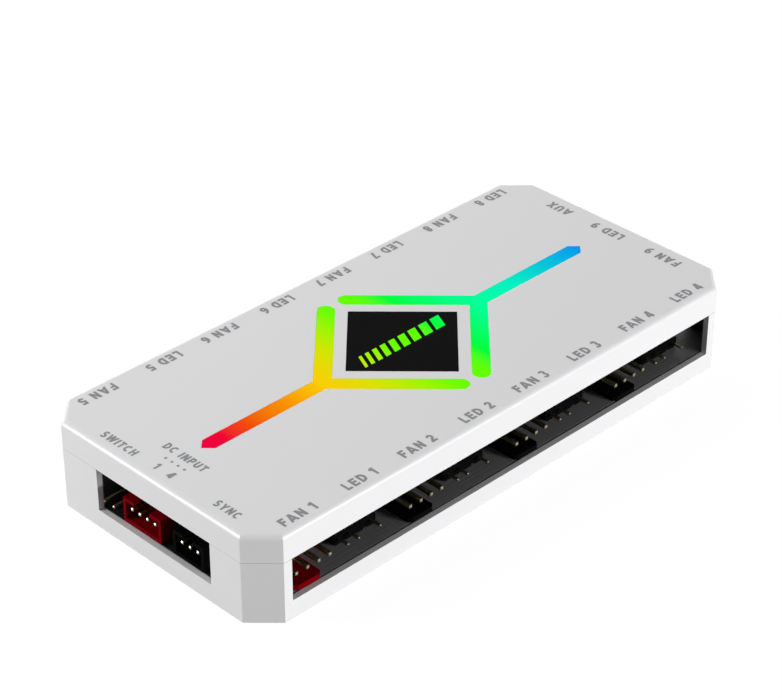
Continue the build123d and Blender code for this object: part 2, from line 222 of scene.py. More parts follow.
# %% Plastics and metals
BLACK_NYLON = plastic("black_nylon", (0.003, 0.003, 0.0034, 1.0), (0.42, 0.56), shine=0.006)
RED_NYLON = plastic("red_nylon", (0.185, 0.0, 0.0033, 1.0), (0.40, 0.52), shine=0.008)
CHIP = plastic("chip_resin", (0.018, 0.018, 0.019, 1.0), (0.55, 0.7), shine=0.3)
RESISTOR = plastic("resistor_glaze", (0.03, 0.025, 0.022, 1.0), (0.25, 0.4))
LED_BODY = plastic("led_package", (0.75, 0.74, 0.68, 1.0), (0.3, 0.45))
STEEL = metal("plated_steel", (0.62, 0.62, 0.63, 1.0), (0.45, 0.45, 0.47, 1.0), (0.22, 0.38))
ALUMINIUM = metal("aluminium_can", (0.80, 0.80, 0.81, 1.0), (0.68, 0.68, 0.70, 1.0), (0.28, 0.4))
BADGE = plastic("badge_tile", (0.005, 0.005, 0.0053, 1.0), (0.5, 0.6), depth=0.004 * MM, shine=0.01)
print("darkest plastics", BLACK_NYLON.name, "and", BADGE.name, "brightest metal", ALUMINIUM.name)

# %% [markdown]
# ## Pins with bright points
# Pins are cut from plated wire. The wire is darkened to a dull olive, with random duller patches, as painted
# shade for the dark inside of the case, and the points take tones of their own, paler on the socket pins, as
# painted light where they reach out into the windows. The points could be pieces of their own, but then every
# pin would come in two. Instead the finish changes along the pin: a point is the part that reaches furthest
# out of the case, and each row of pins takes the line where its points begin from the row's own box.

# %% Plated pins
POINT_LENGTH = 0.25 * MM
POINT_BLEND = 0.1 * MM
# Painted shade on the wire's sides; painted light in the point tones, paler for the socket pins.
SHADED_SIDE_TONES = ((0.36, 0.315, 0.18, 1.0), (0.22, 0.19, 0.10, 1.0))
HEADER_LIT_POINT = (0.26, 0.222, 0.145, 1.0)
SOCKET_LIT_POINT = (0.50, 0.455, 0.36, 1.0)
PIN_GLOSS = (0.28, 0.42)
pin_finishes = {}


def pin_finish(axis, reach, bright):
    """Plated wire, darkened as painted shade, with points in tones of painted light: the last stretch before
    the reach, to either side along an axis.
    """
    material, tree, shader = new_material(f"plated_pins_{len(pin_finishes) + 1}", {"Metallic": 1.0})
    outward = calculate(tree, "ABSOLUTE", object_place(tree)["XYZ".index(axis)])
    start = reach - POINT_LENGTH
    point = between(tree, outward, start - POINT_BLEND, start)
    patches = object_noise(tree, TARNISH_PATCH, 4.0)
    sides = two_tones(tree, patches, *SHADED_SIDE_TONES)
    mix_colours(tree, point, sides, bright, shader.inputs["Base Color"])
    spread_to(tree, patches, *PIN_GLOSS, shader.inputs["Roughness"])
    grain_and_corners(tree, shader, METAL_GRAIN, METAL_DEPTH, 0.06 * MM)
    return material


def finish_of_pins(name):
    """The finish of one row of pins, shared by the rows that reach as far along the same axis."""
    low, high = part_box(name)
    axis = "Y" if "front" in name or "rear" in name else "X"
    reach = max(abs(getattr(low, axis.lower())), abs(getattr(high, axis.lower())))
    bright = SOCKET_LIT_POINT if name in ("power_pins", "mainboard_pins") else HEADER_LIT_POINT
    key = (axis, round(reach / MM, 2), bright)
    if key not in pin_finishes:
        pin_finishes[key] = pin_finish(axis, reach, bright)
    return pin_finishes[key]


print("points of pins", round(POINT_LENGTH / MM, 2), "mm long")

# %% [markdown]
# ## White outside, painted shade inside
# The inside of the case and the window reveals are darkened as painted shade, where little light reaches
# under the cover. Two materials could be given out face by face, but the faces of the windows run from the
# outside to the inside. So one finish asks how deep a point lies under the outer faces, and the painted shade
# starts a little way in. The depth is the largest of the signed distances to the sides, the ends, the cut
# corners, the roof and the base, each negative inside.

# %% White moulding
# Painted shade: deeper than this under the outer faces, the white turns to a dark grey.
PAINTED_SHADE_DEPTH = (1.25 * MM, 1.05 * MM)
WHITE_TONE, PAINTED_SHADE_TONE = (0.80, 0.80, 0.81, 1.0), (0.02, 0.02, 0.021, 1.0)
half_x, half_y = cad_box[1].x, cad_box[1].y
CORNER_CUT = 5 * MM


def depth_under_surface(tree):
    """The largest of |x| - half length, |y| - half width, z - roof, -z, and for the cut corners
    (|x| + |y| - half length - half width + cut) / sqrt 2."""
    x, y, z = object_place(tree)
    x = calculate(tree, "ABSOLUTE", x)
    y = calculate(tree, "ABSOLUTE", y)
    diagonal = calculate(tree, "SUBTRACT", calculate(tree, "ADD", x, y), half_x + half_y - CORNER_CUT)
    depths = [
        calculate(tree, "SUBTRACT", x, half_x),
        calculate(tree, "SUBTRACT", y, half_y),
        calculate(tree, "MULTIPLY", diagonal, math.sqrt(0.5)),
        calculate(tree, "SUBTRACT", z, roof),
        calculate(tree, "MULTIPLY", z, -1.0),
    ]
    deepest = depths[0]
    for depth in depths[1:]:
        deepest = calculate(tree, "MAXIMUM", deepest, depth)
    return deepest


WHITE = plastic("white_moulding", WHITE_TONE, (0.32, 0.38), 0.18 * MM, 0.006 * MM, 0.05 * MM)
tree = WHITE.node_tree
# The share that stays white; the rest is painted shade, by depth under the outer faces.
outside_painted_shade = between(tree, depth_under_surface(tree), -PAINTED_SHADE_DEPTH[0], -PAINTED_SHADE_DEPTH[1])
shade = two_tones(tree, outside_painted_shade, PAINTED_SHADE_TONE, WHITE_TONE)
tree.links.new(shade, tree.nodes["Principled BSDF"].inputs["Base Color"])
print("white outside, dark from", round(PAINTED_SHADE_DEPTH[0] / MM, 2), "mm in")

# %% [markdown]
# ## The circuit board
# Copper tracks lie under the dark mask and lift it by a few hundredths of a millimetre, so a board shows
# its wiring as a faint relief. It could come from a drawing of the wiring, but behind the headers no track
# can be followed. So waves along both axes stand for it, and square blocks choose between the two. Round
# the sockets at the left end the mask is darkened to dull black as painted shade, where little light gets in
# through the end window, and the sawn edges are as black, painted shade for the gap along the wall.

# %% Relief and painted shade field
TRACK_SIZE, BLOCK_SIZE = 3.2 * MM, 5 * MM
TRACK_RISE = (0.55, 0.75)
MASK_TONES = ((0.190, 0.190, 0.201, 1.0), (0.213, 0.213, 0.225, 1.0))
# Painted shade: a black field round the sockets at the left end, where little light reaches the board.
SHADE_FIELD_END, SHADE_FIELD_FRONT, SHADE_FIELD_BLEND = -46 * MM, -17 * MM, 1 * MM
PAINTED_SHADE_BLACK = (0.012, 0.012, 0.013, 1.0)
BOARD_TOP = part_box("main_board")[1].z
# Painted shade: the sawn edges are black, for the shaded gap between the board and the wall.
EDGE_SHADE_DEPTH = (0.06 * MM, 0.02 * MM)


def track_relief(tree):
    """Zero on the ground and one on the tracks: waves along X or along Y, as the block of a point chooses."""
    place = add_node(tree, "TexCoord").outputs["Object"]
    blocks = add_node(tree, "TexVoronoi", distance="CHEBYCHEV", Scale=1.0 / BLOCK_SIZE)
    split = add_node(tree, "SeparateColor")
    tracks = add_node(tree, "Mix", data_type="FLOAT")
    tree.links.new(place, blocks.inputs["Vector"])
    tree.links.new(blocks.outputs["Color"], split.inputs["Color"])
    tree.links.new(calculate(tree, "GREATER_THAN", split.outputs["Red"], 0.5), tracks.inputs["Factor"])
    for direction, socket in (("X", "A"), ("Y", "B")):
        waves = add_node(tree, "TexWave", bands_direction=direction, Scale=1.0 / TRACK_SIZE)
        tree.links.new(place, waves.inputs["Vector"])
        tree.links.new(waves.outputs["Fac"], tracks.inputs[socket])
    return between(tree, tracks.outputs["Result"], *TRACK_RISE, interpolation_type="SMOOTHSTEP")


def unshaded_board_mask(tree):
    """One on the plain mask, and zero where shade is painted: the black field at the left end and the sawn
    edges.
    """
    x, y, z = object_place(tree)
    past_front = calculate(tree, "SUBTRACT", SHADE_FIELD_FRONT, y)
    past_end = calculate(tree, "SUBTRACT", x, SHADE_FIELD_END)
    past_shade_field = between(tree, calculate(tree, "MAXIMUM", past_front, past_end), 0.0, SHADE_FIELD_BLEND)
    upper_face = between(tree, z, BOARD_TOP - EDGE_SHADE_DEPTH[0], BOARD_TOP - EDGE_SHADE_DEPTH[1])
    return calculate(tree, "MINIMUM", past_shade_field, upper_face)


print("board's top at", round(BOARD_TOP / MM, 2), "mm, black left of", round(SHADE_FIELD_END / MM), "mm")

# %% Board with tracks under its mask
BOARD_SHINE, BOARD_GLOSS = (0.02, 0.4), (0.32, 0.44)
RELIEF_STRENGTH, RELIEF_HEIGHT = 0.4, 0.03 * MM
BOARD, tree, shader = new_material("board_mask", {})
relief, unshaded_board = track_relief(tree), unshaded_board_mask(tree)
# The painted shade in black is mixed over the mask's two tones.
mix_colours(tree, unshaded_board, PAINTED_SHADE_BLACK, two_tones(tree, relief, *MASK_TONES), shader.inputs["Base Color"])
spread_to(tree, unshaded_board, *BOARD_SHINE, shader.inputs["Specular IOR Level"])
spread_to(tree, object_noise(tree, 4 * MM), *BOARD_GLOSS, shader.inputs["Roughness"])
bump = add_node(tree, "Bump", Strength=RELIEF_STRENGTH, Distance=RELIEF_HEIGHT)
tree.links.new(relief, bump.inputs["Height"])
tree.links.new(bump.outputs["Normal"], shader.inputs["Normal"])
print("board with tracks", round(RELIEF_HEIGHT / MM, 2), "mm high")

# %% [markdown]
# ## Lit plastic
# A light guide is a clear bar with light sources under it. Each source has its own colour, and the bar
# blends them, so the colour runs along the whole case: rose red at the left tip, amber at the left fork,
# lime in the middle, green at the right fork and blue at the right tip. Real lamps in clear plastic would
# be slow to render and grainy, so the guides glow by themselves. One ramp along X colours both, and the
# mark on the badge is lit by the same row of sources.

# %% Colours of light
def srgb(red, green, blue):
    """A screen colour of three values from 0 to 255 as linear light, with an alpha of one."""
    share = np.array([red, green, blue]) / 255.0
    linear = np.where(share <= 0.04045, share / 12.92, ((share + 0.055) / 1.055) ** 2.4)
    return (*linear.tolist(), 1.0)


guide_left_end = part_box("light_guide_left")[0].x
guide_right_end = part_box("light_guide_right")[1].x
RAINBOW = [
    (guide_left_end, srgb(234, 0, 70)),
    (-43 * MM, srgb(241, 0, 50)),
    (-38 * MM, srgb(240, 72, 5)),
    (-28 * MM, srgb(250, 150, 0)),
    (-20 * MM, srgb(250, 205, 0)),
    (-14 * MM, srgb(222, 223, 0)),
    (-8 * MM, srgb(166, 242, 0)),
    (-3 * MM, srgb(108, 251, 0)),
    (4 * MM, srgb(96, 254, 0)),
    (8 * MM, srgb(0, 253, 52)),
    (14 * MM, srgb(0, 253, 116)),
    (20 * MM, srgb(0, 254, 156)),
    (28 * MM, srgb(0, 241, 192)),
    (38 * MM, srgb(0, 196, 217)),
    (guide_right_end, srgb(0, 138, 242)),
]
print("light along the case in", len(RAINBOW), "colours")

# %% Light along the case
GLOW_DEPTH, GUIDE_GLOSS = (1.0 * MM, 0.6 * MM), (0.3, 0.45)


def colour_ramp(tree, start, end, stops):
    """Colour that changes along the case, from X = start to X = end, through stops of place and colour."""
    ramp = add_node(tree, "ValToRGB")
    tree.links.new(between(tree, object_place(tree)[0], start, end), ramp.inputs["Fac"])
    elements = ramp.color_ramp.elements
    for place_x, colour in stops[1:-1]:
        elements.new((place_x - start) / (end - start)).color = colour
    elements[0].color = stops[0][1]
    elements[-1].color = stops[-1][1]
    return ramp.outputs["Color"]


def lit_plastic(name):
    """Plastic that glows, at its face, in the colour of its place along the case."""
    unlit = {"Base Color": (0.0, 0.0, 0.0, 1.0), "Specular IOR Level": 0.004}
    material, tree, shader = new_material(name, unlit)
    glow = colour_ramp(tree, guide_left_end, guide_right_end, RAINBOW)
    tree.links.new(glow, shader.inputs["Emission Color"])
    face = between(tree, object_place(tree)[2], roof - GLOW_DEPTH[0], roof - GLOW_DEPTH[1])
    tree.links.new(face, shader.inputs["Emission Strength"])
    spread_to(tree, object_noise(tree, 4 * MM), *GUIDE_GLOSS, shader.inputs["Roughness"])
    return material


GUIDE = lit_plastic("lit_guide")
MARK = lit_plastic("lit_mark")
print("lit plastic", GUIDE.name, "and", MARK.name)

# %% [markdown]
# ## Dressing the frame
# Every solid now takes the finish of its slot. The pins are the exception: they share one slot, but each
# row has its own line where the bright points begin.

# %% A finish for every node
finishes = {
    "case_white": WHITE,
    "guide_warm": GUIDE,
    "guide_cool": GUIDE,
    "badge_black": BADGE,
    "screw_steel": STEEL,
    "board_black": BOARD,
    "header_black": BLACK_NYLON,
    "header_red": RED_NYLON,
    "led_white": LED_BODY,
    "chip_black": CHIP,
    "can_aluminium": ALUMINIUM,
    "resistor_dark": RESISTOR,
}
slots = {row["node"]: row["material_slot"] for row in frame["record"]["subparts"]}
for name, node in nodes.items():
    is_pin = slots[name] == "pin_brass"
    node.data.materials.clear()
    node.data.materials.append(finish_of_pins(name) if is_pin else finishes[slots[name]])
print("finishes", len(set(finishes.values())), "and", len(pin_finishes), "for pins, on", len(nodes), "nodes")

# %% [markdown]
# # The cover's rounded edge
# The cover is one injection moulding, and its upper edge has a radius, cut into the mould's cavity with a
# ball cutter. The solid's mesh has that radius as flat strips. A Bevel modifier could round the edge anew,
# but it would also round the slots of the guides. So this step takes a copy, joins the strips' corners, and
# gives each corner of a strip the normal that the true round has there, so that light runs across the edge
# without steps. The copy then stands for the solid.

# %% Normals of a round
TOUCH = 0.001 * MM
NEARLY_UPRIGHT, NEARLY_LEVEL = 0.02, 0.999


def round_normals(points, face_normals):
    """Normals of a rounded upper edge: level 0 at its foot and 1 at the roof is the sine of the tilt, and the
    flat strip's own compass direction carries the cosine. Corners that aren't on the round keep the face's.
    The radius is how far the roof's flat part stays behind the case's side."""
    flat = points[points[:, 2] > roof - TOUCH]
    radius = half_y - np.abs(flat[:, 1]).max()
    level = np.clip((points[:, 2] - (roof - radius)) / radius, 0, 1)
    compass = face_normals[:, :2]
    length = np.linalg.norm(compass, axis=1, keepdims=True)
    compass = compass / np.maximum(length, 1e-9)
    curved = np.column_stack([compass * np.sqrt(1 - level**2)[:, None], level])
    tilted = (face_normals[:, 2] > NEARLY_UPRIGHT) & (face_normals[:, 2] < NEARLY_LEVEL)
    on_round = tilted & (points[:, 2] > roof - 1.1 * radius)
    return np.where(on_round[:, None], curved, face_normals), radius


print("corners closer than", TOUCH / 2 / MM, "mm are joined")

# %% Smooth copy of the cover
def read(items, name, width, kind=float):
    """One property of all items of a mesh as an array, a row for each."""
    values = np.zeros(len(items) * width, dtype=kind)
    items.foreach_get(name, values)
    return values.reshape(-1, width)


cover_mesh = nodes["top_cover"].data.copy()
cover_mesh.name = "cover"
joiner = bmesh.new()
joiner.from_mesh(cover_mesh)
bmesh.ops.remove_doubles(joiner, verts=joiner.verts, dist=TOUCH / 2)
joiner.to_mesh(cover_mesh)
joiner.free()
corner_vertex = read(cover_mesh.loops, "vertex_index", 1, int)[:, 0]
corner_places = read(cover_mesh.vertices, "co", 3)[corner_vertex]
corner_count = read(cover_mesh.polygons, "loop_total", 1, int)[:, 0]
corner_facing = np.repeat(read(cover_mesh.polygons, "normal", 3), corner_count, axis=0)
normals, edge_radius = round_normals(corner_places, corner_facing)
cover_mesh.shade_smooth()
cover_mesh.normals_split_custom_set(normals.tolist())
cover = bpy.data.objects.new("cover", cover_mesh)
bpy.context.scene.collection.objects.link(cover)
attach(cover, "root")
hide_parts("top_cover")
print("cover", len(cover_mesh.polygons), "faces, edge radius", round(edge_radius / MM, 2), "mm")

# %% [markdown]
# # Print on the case
# The names of the ports are pad-printed in grey ink, a film thinner than a hair. Text objects could set
# them, but only in the weight of the one font that is always there. So the letters are drawn as a sign
# writer draws them: each is a few strokes of even thickness, and a stroke is a flat band carried along its
# centre line. A letter is one unit high here, and is scaled when a word is put in its place.

# %% Strokes
STROKE = 0.23
LOW, HIGH = STROKE / 2, 1 - STROKE / 2
BOW_POINTS = 22


def line(x0, y0, x1, y1):
    """Centre line of a straight stroke with square ends."""
    return np.array([[x0, y0], [x1, y1]]), False


def slant(x0, y0, x1, y1):
    """Centre line of a slanting stroke, whose ends are cut level."""
    return np.array([[x0, y0], [x1, y1]]), True


def bow(x, y, radius_x, radius_y, start, end, *tail):
    """Centre line along an ellipse between two angles in degrees, and on to the points of its tail."""
    turn = np.radians(np.linspace(start, end, BOW_POINTS))
    curve = np.column_stack([x + radius_x * np.cos(turn), y + radius_y * np.sin(turn)])
    return (np.concatenate([curve, np.array(tail)]) if tail else curve), False


def stem(x, low=0.0, high=1.0):
    """Upright stroke."""
    return line(x, low, x, high)


def bar(y, right, left=0.0):
    """Level stroke."""
    return line(left, y, right, y)


print("strokes", STROKE, "of a letter's height")

# %% Letters from strokes
GLYPHS = {
    "A": (0.78, [slant(0.09, 0, 0.39, 1), slant(0.69, 0, 0.39, 1), bar(0.28, 0.62, 0.16)]),
    "C": (0.72, [bow(0.38, 0.5, 0.38 - LOW, 0.5 - LOW, 48, 312)]),
    "D": (0.68, [stem(LOW), bar(LOW, 0.28), bar(HIGH, 0.28), bow(0.27, 0.5, 0.41 - LOW, 0.5 - LOW, 90, -90)]),
    "E": (0.60, [stem(LOW), bar(LOW, 0.60), bar(0.52, 0.55), bar(HIGH, 0.59)]),
    "F": (0.57, [stem(LOW), bar(0.51, 0.51), bar(HIGH, 0.57)]),
    "H": (0.67, [stem(LOW), stem(0.67 - LOW), bar(0.52, 0.67)]),
    "I": (STROKE, [stem(LOW)]),
    "L": (0.54, [stem(LOW), bar(LOW, 0.54)]),
    "N": (0.68, [stem(LOW), stem(0.68 - LOW), slant(0.10, 1, 0.58, 0)]),
    "P": (0.62, [stem(LOW), bar(0.45, 0.36), bar(HIGH, 0.36), bow(0.35, 0.683, 0.27 - LOW, 0.233, 90, -90)]),
    "S": (
        0.64,
        [bow(0.32, 0.708, 0.30 - LOW, 0.208, 28, 270), bow(0.32, 0.292, 0.32 - LOW, 0.208, 90, -152)],
    ),
    "T": (0.62, [bar(HIGH, 0.62), stem(0.31)]),
    "U": (
        0.67,
        [stem(LOW, 0.34), stem(0.67 - LOW, 0.34), bow(0.335, 0.35, 0.335 - LOW, 0.35 - LOW, 180, 360)],
    ),
    "W": (
        1.05,
        [
            slant(0.08, 1, 0.30, 0),
            slant(0.525, 1, 0.30, 0),
            slant(0.525, 1, 0.75, 0),
            slant(0.97, 1, 0.75, 0),
        ],
    ),
    "X": (0.72, [slant(0.10, 0, 0.62, 1), slant(0.62, 0, 0.10, 1)]),
    "Y": (0.70, [slant(0.09, 1, 0.35, 0.40), slant(0.61, 1, 0.35, 0.40), stem(0.35, 0, 0.44)]),
    "1": (0.42, [stem(0.32), line(0.04, 0.70, 0.30, 0.93)]),
    "2": (0.60, [bow(0.30, 0.69, 0.30 - LOW, 0.31 - LOW, 170, -35, (0.12, 0.12)), bar(LOW, 0.60)]),
    "3": (0.60, [bow(0.29, 0.715, 0.29 - LOW, 0.20, 155, -90), bow(0.29, 0.30, 0.31 - LOW, 0.215, 90, -160)]),
    "4": (0.64, [slant(0.11, 0.25, 0.42, 1), bar(0.25, 0.64), stem(0.47)]),
    "5": (
        0.60,
        [
            line(0.13, 0.45, 0.17, 1),
            bar(HIGH, 0.56, 0.1),
            bow(0.29, 0.32, 0.31 - LOW, 0.32 - LOW, 128, -160),
        ],
    ),
    "6": (0.61, [bow(0.305, 0.31, 0.305 - LOW, 0.31 - LOW, 0, 360), bow(0.50, 0.36, 0.417, 0.555, 92, 176)]),
    "7": (0.58, [bar(HIGH, 0.58), slant(0.20, 0, 0.48, 0.86)]),
    "8": (
        0.61,
        [bow(0.305, 0.725, 0.265 - LOW, 0.19, 0, 360), bow(0.305, 0.305, 0.305 - LOW, 0.222, 0, 360)],
    ),
}
GLYPHS["9"] = (0.61, [(np.array([0.61, 1.0]) - path, level) for path, level in GLYPHS["6"][1]])
print("letters and digits", len(GLYPHS))

# %% [markdown]
# ## From strokes to words
# A pen goes from letter to letter along the word. Where two strokes of a letter cross, the later one lies a
# little higher, as wet ink over dry, so that no two sheets share a place.

# %% Bands and words
LETTER_GAP, WORD_GAP = 0.19, 0.44


def grid_faces(rows, columns, first=0):
    """Quads of a grid of points that is stored row after row, as an array of four indices each."""
    index = first + np.arange(rows * columns).reshape(rows, columns)
    corners = (index[:-1, :-1], index[:-1, 1:], index[1:, 1:], index[1:, :-1])
    return np.stack(corners, axis=-1).reshape(-1, 4)


def band(path, level):
    """Flat band along a centre line: a point is the line's at s, plus w times half the thickness across it.
    Across is square to the line, or level and longer where a slanting stroke is cut level; w is -1 or 1."""
    along = np.gradient(path, axis=0)
    along = along / np.linalg.norm(along, axis=1, keepdims=True)
    across = np.column_stack([-along[:, 1], along[:, 0]])
    if level:
        across = np.column_stack([1 / -along[:, 1], np.zeros(len(along))])
    w = np.array([-1.0, 1.0])
    return path[:, None, :] + across[:, None, :] * w[None, :, None] * STROKE / 2


def flat_word(text):
    """A word one unit high about its own centre: its points, the quads of all its strokes, and the layer of
    each point, because every stroke of a letter is laid over the one before."""
    points, faces, layers, count, pen = [], [], [], 0, 0.0
    for letter in text:
        width, strokes = GLYPHS.get(letter, (WORD_GAP - LETTER_GAP, []))
        for layer, (path, level) in enumerate(strokes):
            sheet = band(path, level) + np.array([pen, 0.0])
            points.append(sheet.reshape(-1, 2))
            faces.append(grid_faces(*sheet.shape[:2], count))
            layers.append(np.full(len(points[-1]), layer))
            count += len(points[-1])
        pen += width + LETTER_GAP
    centre = np.array([(pen - LETTER_GAP) / 2, 0.5])
    return np.concatenate(points) - centre, np.concatenate(faces), np.concatenate(layers)


def facing_up(points, faces):
    """The same quads, each turned to face upwards."""
    a, b, c = (points[faces[:, i], :2] for i in range(3))
    turned = (b - a)[:, 0] * (c - b)[:, 1] - (b - a)[:, 1] * (c - b)[:, 0] < 0
    return np.where(turned[:, None], faces[:, ::-1], faces)


print("a word:", len(flat_word("FAN 1")[1]), "quads in FAN 1")

# %% [markdown]
# ## Words in their places
# The words along each side are read from that side, so they are turned by quarter turns. They are plain
# words and numbers, chosen for this part. Their places were measured along the roof in the photograph.

# %% Film of ink
INK = plastic("grey_ink", (0.305, 0.305, 0.315, 1.0), (0.5, 0.65), depth=0.003 * MM, shine=0.2)
INK_FILM, INK_LAYER = 0.012 * MM, 0.004 * MM
SIDE_LETTERS = 2.2 * MM
END_LETTERS = 1.8 * MM


def mesh_piece(name, points, faces, material):
    """A finished piece from an array of points and a list of faces. It rides on the case."""
    mesh = bpy.data.meshes.new(name)
    mesh.from_pydata(points.tolist(), [], faces)
    mesh.update()
    piece = bpy.data.objects.new(name, mesh)
    bpy.context.scene.collection.objects.link(piece)
    mesh.materials.append(material)
    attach(piece, "root")
    return piece


def print_words(name, words, level):
    """One film of ink: each word is scaled, turned by quarter turns and moved to its place on the level."""
    all_points, all_faces, count = [], [], 0
    for text, height, x, y, quarter in words:
        points, faces, layers = flat_word(text)
        turn = math.radians(90 * quarter)
        cos, sin = math.cos(turn), math.sin(turn)
        placed = height * points @ np.array([[cos, sin], [-sin, cos]]) + np.array([x, y])
        all_points.append(np.column_stack([placed, level + layers * INK_LAYER]))
        all_faces.append(faces + count)
        count += len(points)
    points = np.concatenate(all_points)
    return mesh_piece(name, points, facing_up(points, np.concatenate(all_faces)).tolist(), INK)


print("ink", round(INK_FILM / MM, 3), "mm thick, letters", round(SIDE_LETTERS / MM, 1), "mm high")

# %% Port names
FRONT_LINE, REAR_LINE, RIGHT_LINE = -25.3 * MM, 25.1 * MM, 56.1 * MM
PORT_KINDS = ("FAN ", "LED ")
front_x = np.array([-49.3, -35.2, -21.6, -7.05, 6.7, 20.8, 35.1, 49.3]) * MM
rear_x = np.array([-50.05, -34.9, -21.7, -7.6, 6.6, 20.7, 35.3, 49.55]) * MM
words = []
for place, x in enumerate(front_x):
    words.append((PORT_KINDS[place % 2] + str(place // 2 + 1), SIDE_LETTERS, x, FRONT_LINE, 0))
for place, x in enumerate(rear_x):
    words.append((PORT_KINDS[place % 2] + str(place // 2 + 5), SIDE_LETTERS, x, REAR_LINE, 2))
words += [
    ("AUX", SIDE_LETTERS, RIGHT_LINE, 12.5 * MM, 1),
    ("LED 9", SIDE_LETTERS, RIGHT_LINE, 0.1 * MM, 1),
    ("FAN 9", SIDE_LETTERS, RIGHT_LINE, -13.8 * MM, 1),
    ("SWITCH", END_LETTERS, -57.0 * MM, 10.8 * MM, -1),
    ("DC INPUT", END_LETTERS, -51.7 * MM, -0.2 * MM, -1),
    ("1   4", END_LETTERS, -56.8 * MM, -0.7 * MM, -1),
    ("SYNC", END_LETTERS, -56.5 * MM, -16.3 * MM, -1),
]
port_names = print_words("port_names", words, roof + INK_FILM)
print("port names", len(words), "words,", len(port_names.data.polygons), "faces")

# %% [markdown]
# ## Dots for the power pins
# Four round dots stand between the words at the power socket, one for each of its pins. They could be short
# cylinders, but ink has no height to see. So a dot is a flat disc: the radius grows with one parameter and
# the angle with the other.

# %% Pin dots
DOT_RADIUS, DOT_LINE = 0.28 * MM, -54.2 * MM
PINHOLE = 0.02


def discs(centres, radius, level, rings=3, spokes=24):
    """Flat discs: a point is the centre plus radius u at angle 2 pi v, with u from nearly 0 to 1 and v from
    0 to 1."""
    u, v = np.meshgrid(np.linspace(PINHOLE, 1, rings), np.linspace(0, 1, spokes), indexing="ij")
    ring = np.stack([radius * u * np.cos(2 * np.pi * v), radius * u * np.sin(2 * np.pi * v)], axis=-1)
    points = np.array(centres)[:, None, :] + ring.reshape(1, -1, 2)
    level_column = np.full((points.shape[0] * points.shape[1], 1), level)
    faces = [grid_faces(rings, spokes, first * rings * spokes) for first in range(len(centres))]
    return np.concatenate([points.reshape(-1, 2), level_column], axis=1), np.concatenate(faces)


dot_y = np.array([2.0, 0.4, -1.2, -2.8]) * MM
dot_centres = np.column_stack([np.full(len(dot_y), DOT_LINE), dot_y])
dot_points, dot_faces = discs(dot_centres, DOT_RADIUS, roof + INK_FILM)
pin_dots = mesh_piece("pin_dots", dot_points, dot_faces.tolist(), INK)
print("pin dots", len(dot_centres), "discs,", len(pin_dots.data.polygons), "faces")

# %% [markdown]
# # The mark on the badge
# The badge is a black tile with a lit mark across it. Here the mark is a plain one: a row of slanted bars
# that grow wider to the right, like a fan that speeds up. It could be a pattern in the tile's finish, but a
# mesh keeps its edges sharp from close by. Each bar is a flat sheet whose lower edge is set back from its
# upper edge, and the light along the case colours it from yellow to green.

# %% Slanted bars
def slanted_bars(widths, gap, height, lean, level):
    """Flat bars in a row: a point is the bar's start plus width u plus lean times its height, at a height
    of v."""
    starts = np.concatenate([[0], np.cumsum(widths[:-1] + gap)])
    starts = starts - (starts[-1] + widths[-1]) / 2
    u, v = np.meshgrid(np.linspace(0, 1, 3), np.linspace(-0.5, 0.5, 5), indexing="ij")
    x = starts[:, None, None] + widths[:, None, None] * u + lean * height * v
    y = np.broadcast_to(height * v, x.shape)
    points = np.stack([x, y, np.full(x.shape, level)], axis=-1).reshape(-1, 3)
    faces = [grid_faces(*u.shape, first * u.size)[:, ::-1] for first in range(len(widths))]
    return points, np.concatenate(faces)


BAR_GAP, BAR_HEIGHT, BAR_LEAN = 0.85 * MM, 3.4 * MM, 0.45
bar_widths = np.linspace(0.7, 2.3, 9) * MM
bar_points, bar_faces = slanted_bars(bar_widths, BAR_GAP, BAR_HEIGHT, BAR_LEAN, roof + INK_FILM)
badge_mark = mesh_piece("badge_mark", bar_points, bar_faces.tolist(), MARK)
print("badge mark", len(bar_widths), "bars,", len(badge_mark.data.polygons), "faces")

# %% [markdown]
# # The studio
# A product picture like this one has no horizon: floor and background are the same white. More light could
# bleach a floor, but it would bleach the white case too. So the floor is grey paper that shines by its own
# light to the camera: it looks white, and still keeps a soft shadow. From below it is clear, so that the
# base can be looked at. The world is white to the camera and in mirrors, and gives only a little light from
# all round.

# %% Paper of the floor
PURE_WHITE, PAPER_GREY = (1.0, 1.0, 1.0, 1.0), (0.38, 0.38, 0.38, 1.0)
FLOOR_GLOW, OWN_LIGHT = 1.14, 0.85


def sees_studio(tree):
    """One for a ray of the camera, or one that metal or clear plastic sends on, and zero for other light."""
    rays = add_node(tree, "LightPath").outputs
    sent_on = calculate(tree, "MAXIMUM", rays["Is Glossy Ray"], rays["Is Transmission Ray"])
    return calculate(tree, "MAXIMUM", rays["Is Camera Ray"], sent_on)


def mix_shaders(tree, share, first, second):
    """The first shader where the share is 0 and the second where it is 1."""
    mix = add_node(tree, "MixShader")
    tree.links.new(share, mix.inputs["Fac"])
    tree.links.new(first, mix.inputs[1])
    tree.links.new(second, mix.inputs[2])
    return mix.outputs["Shader"]


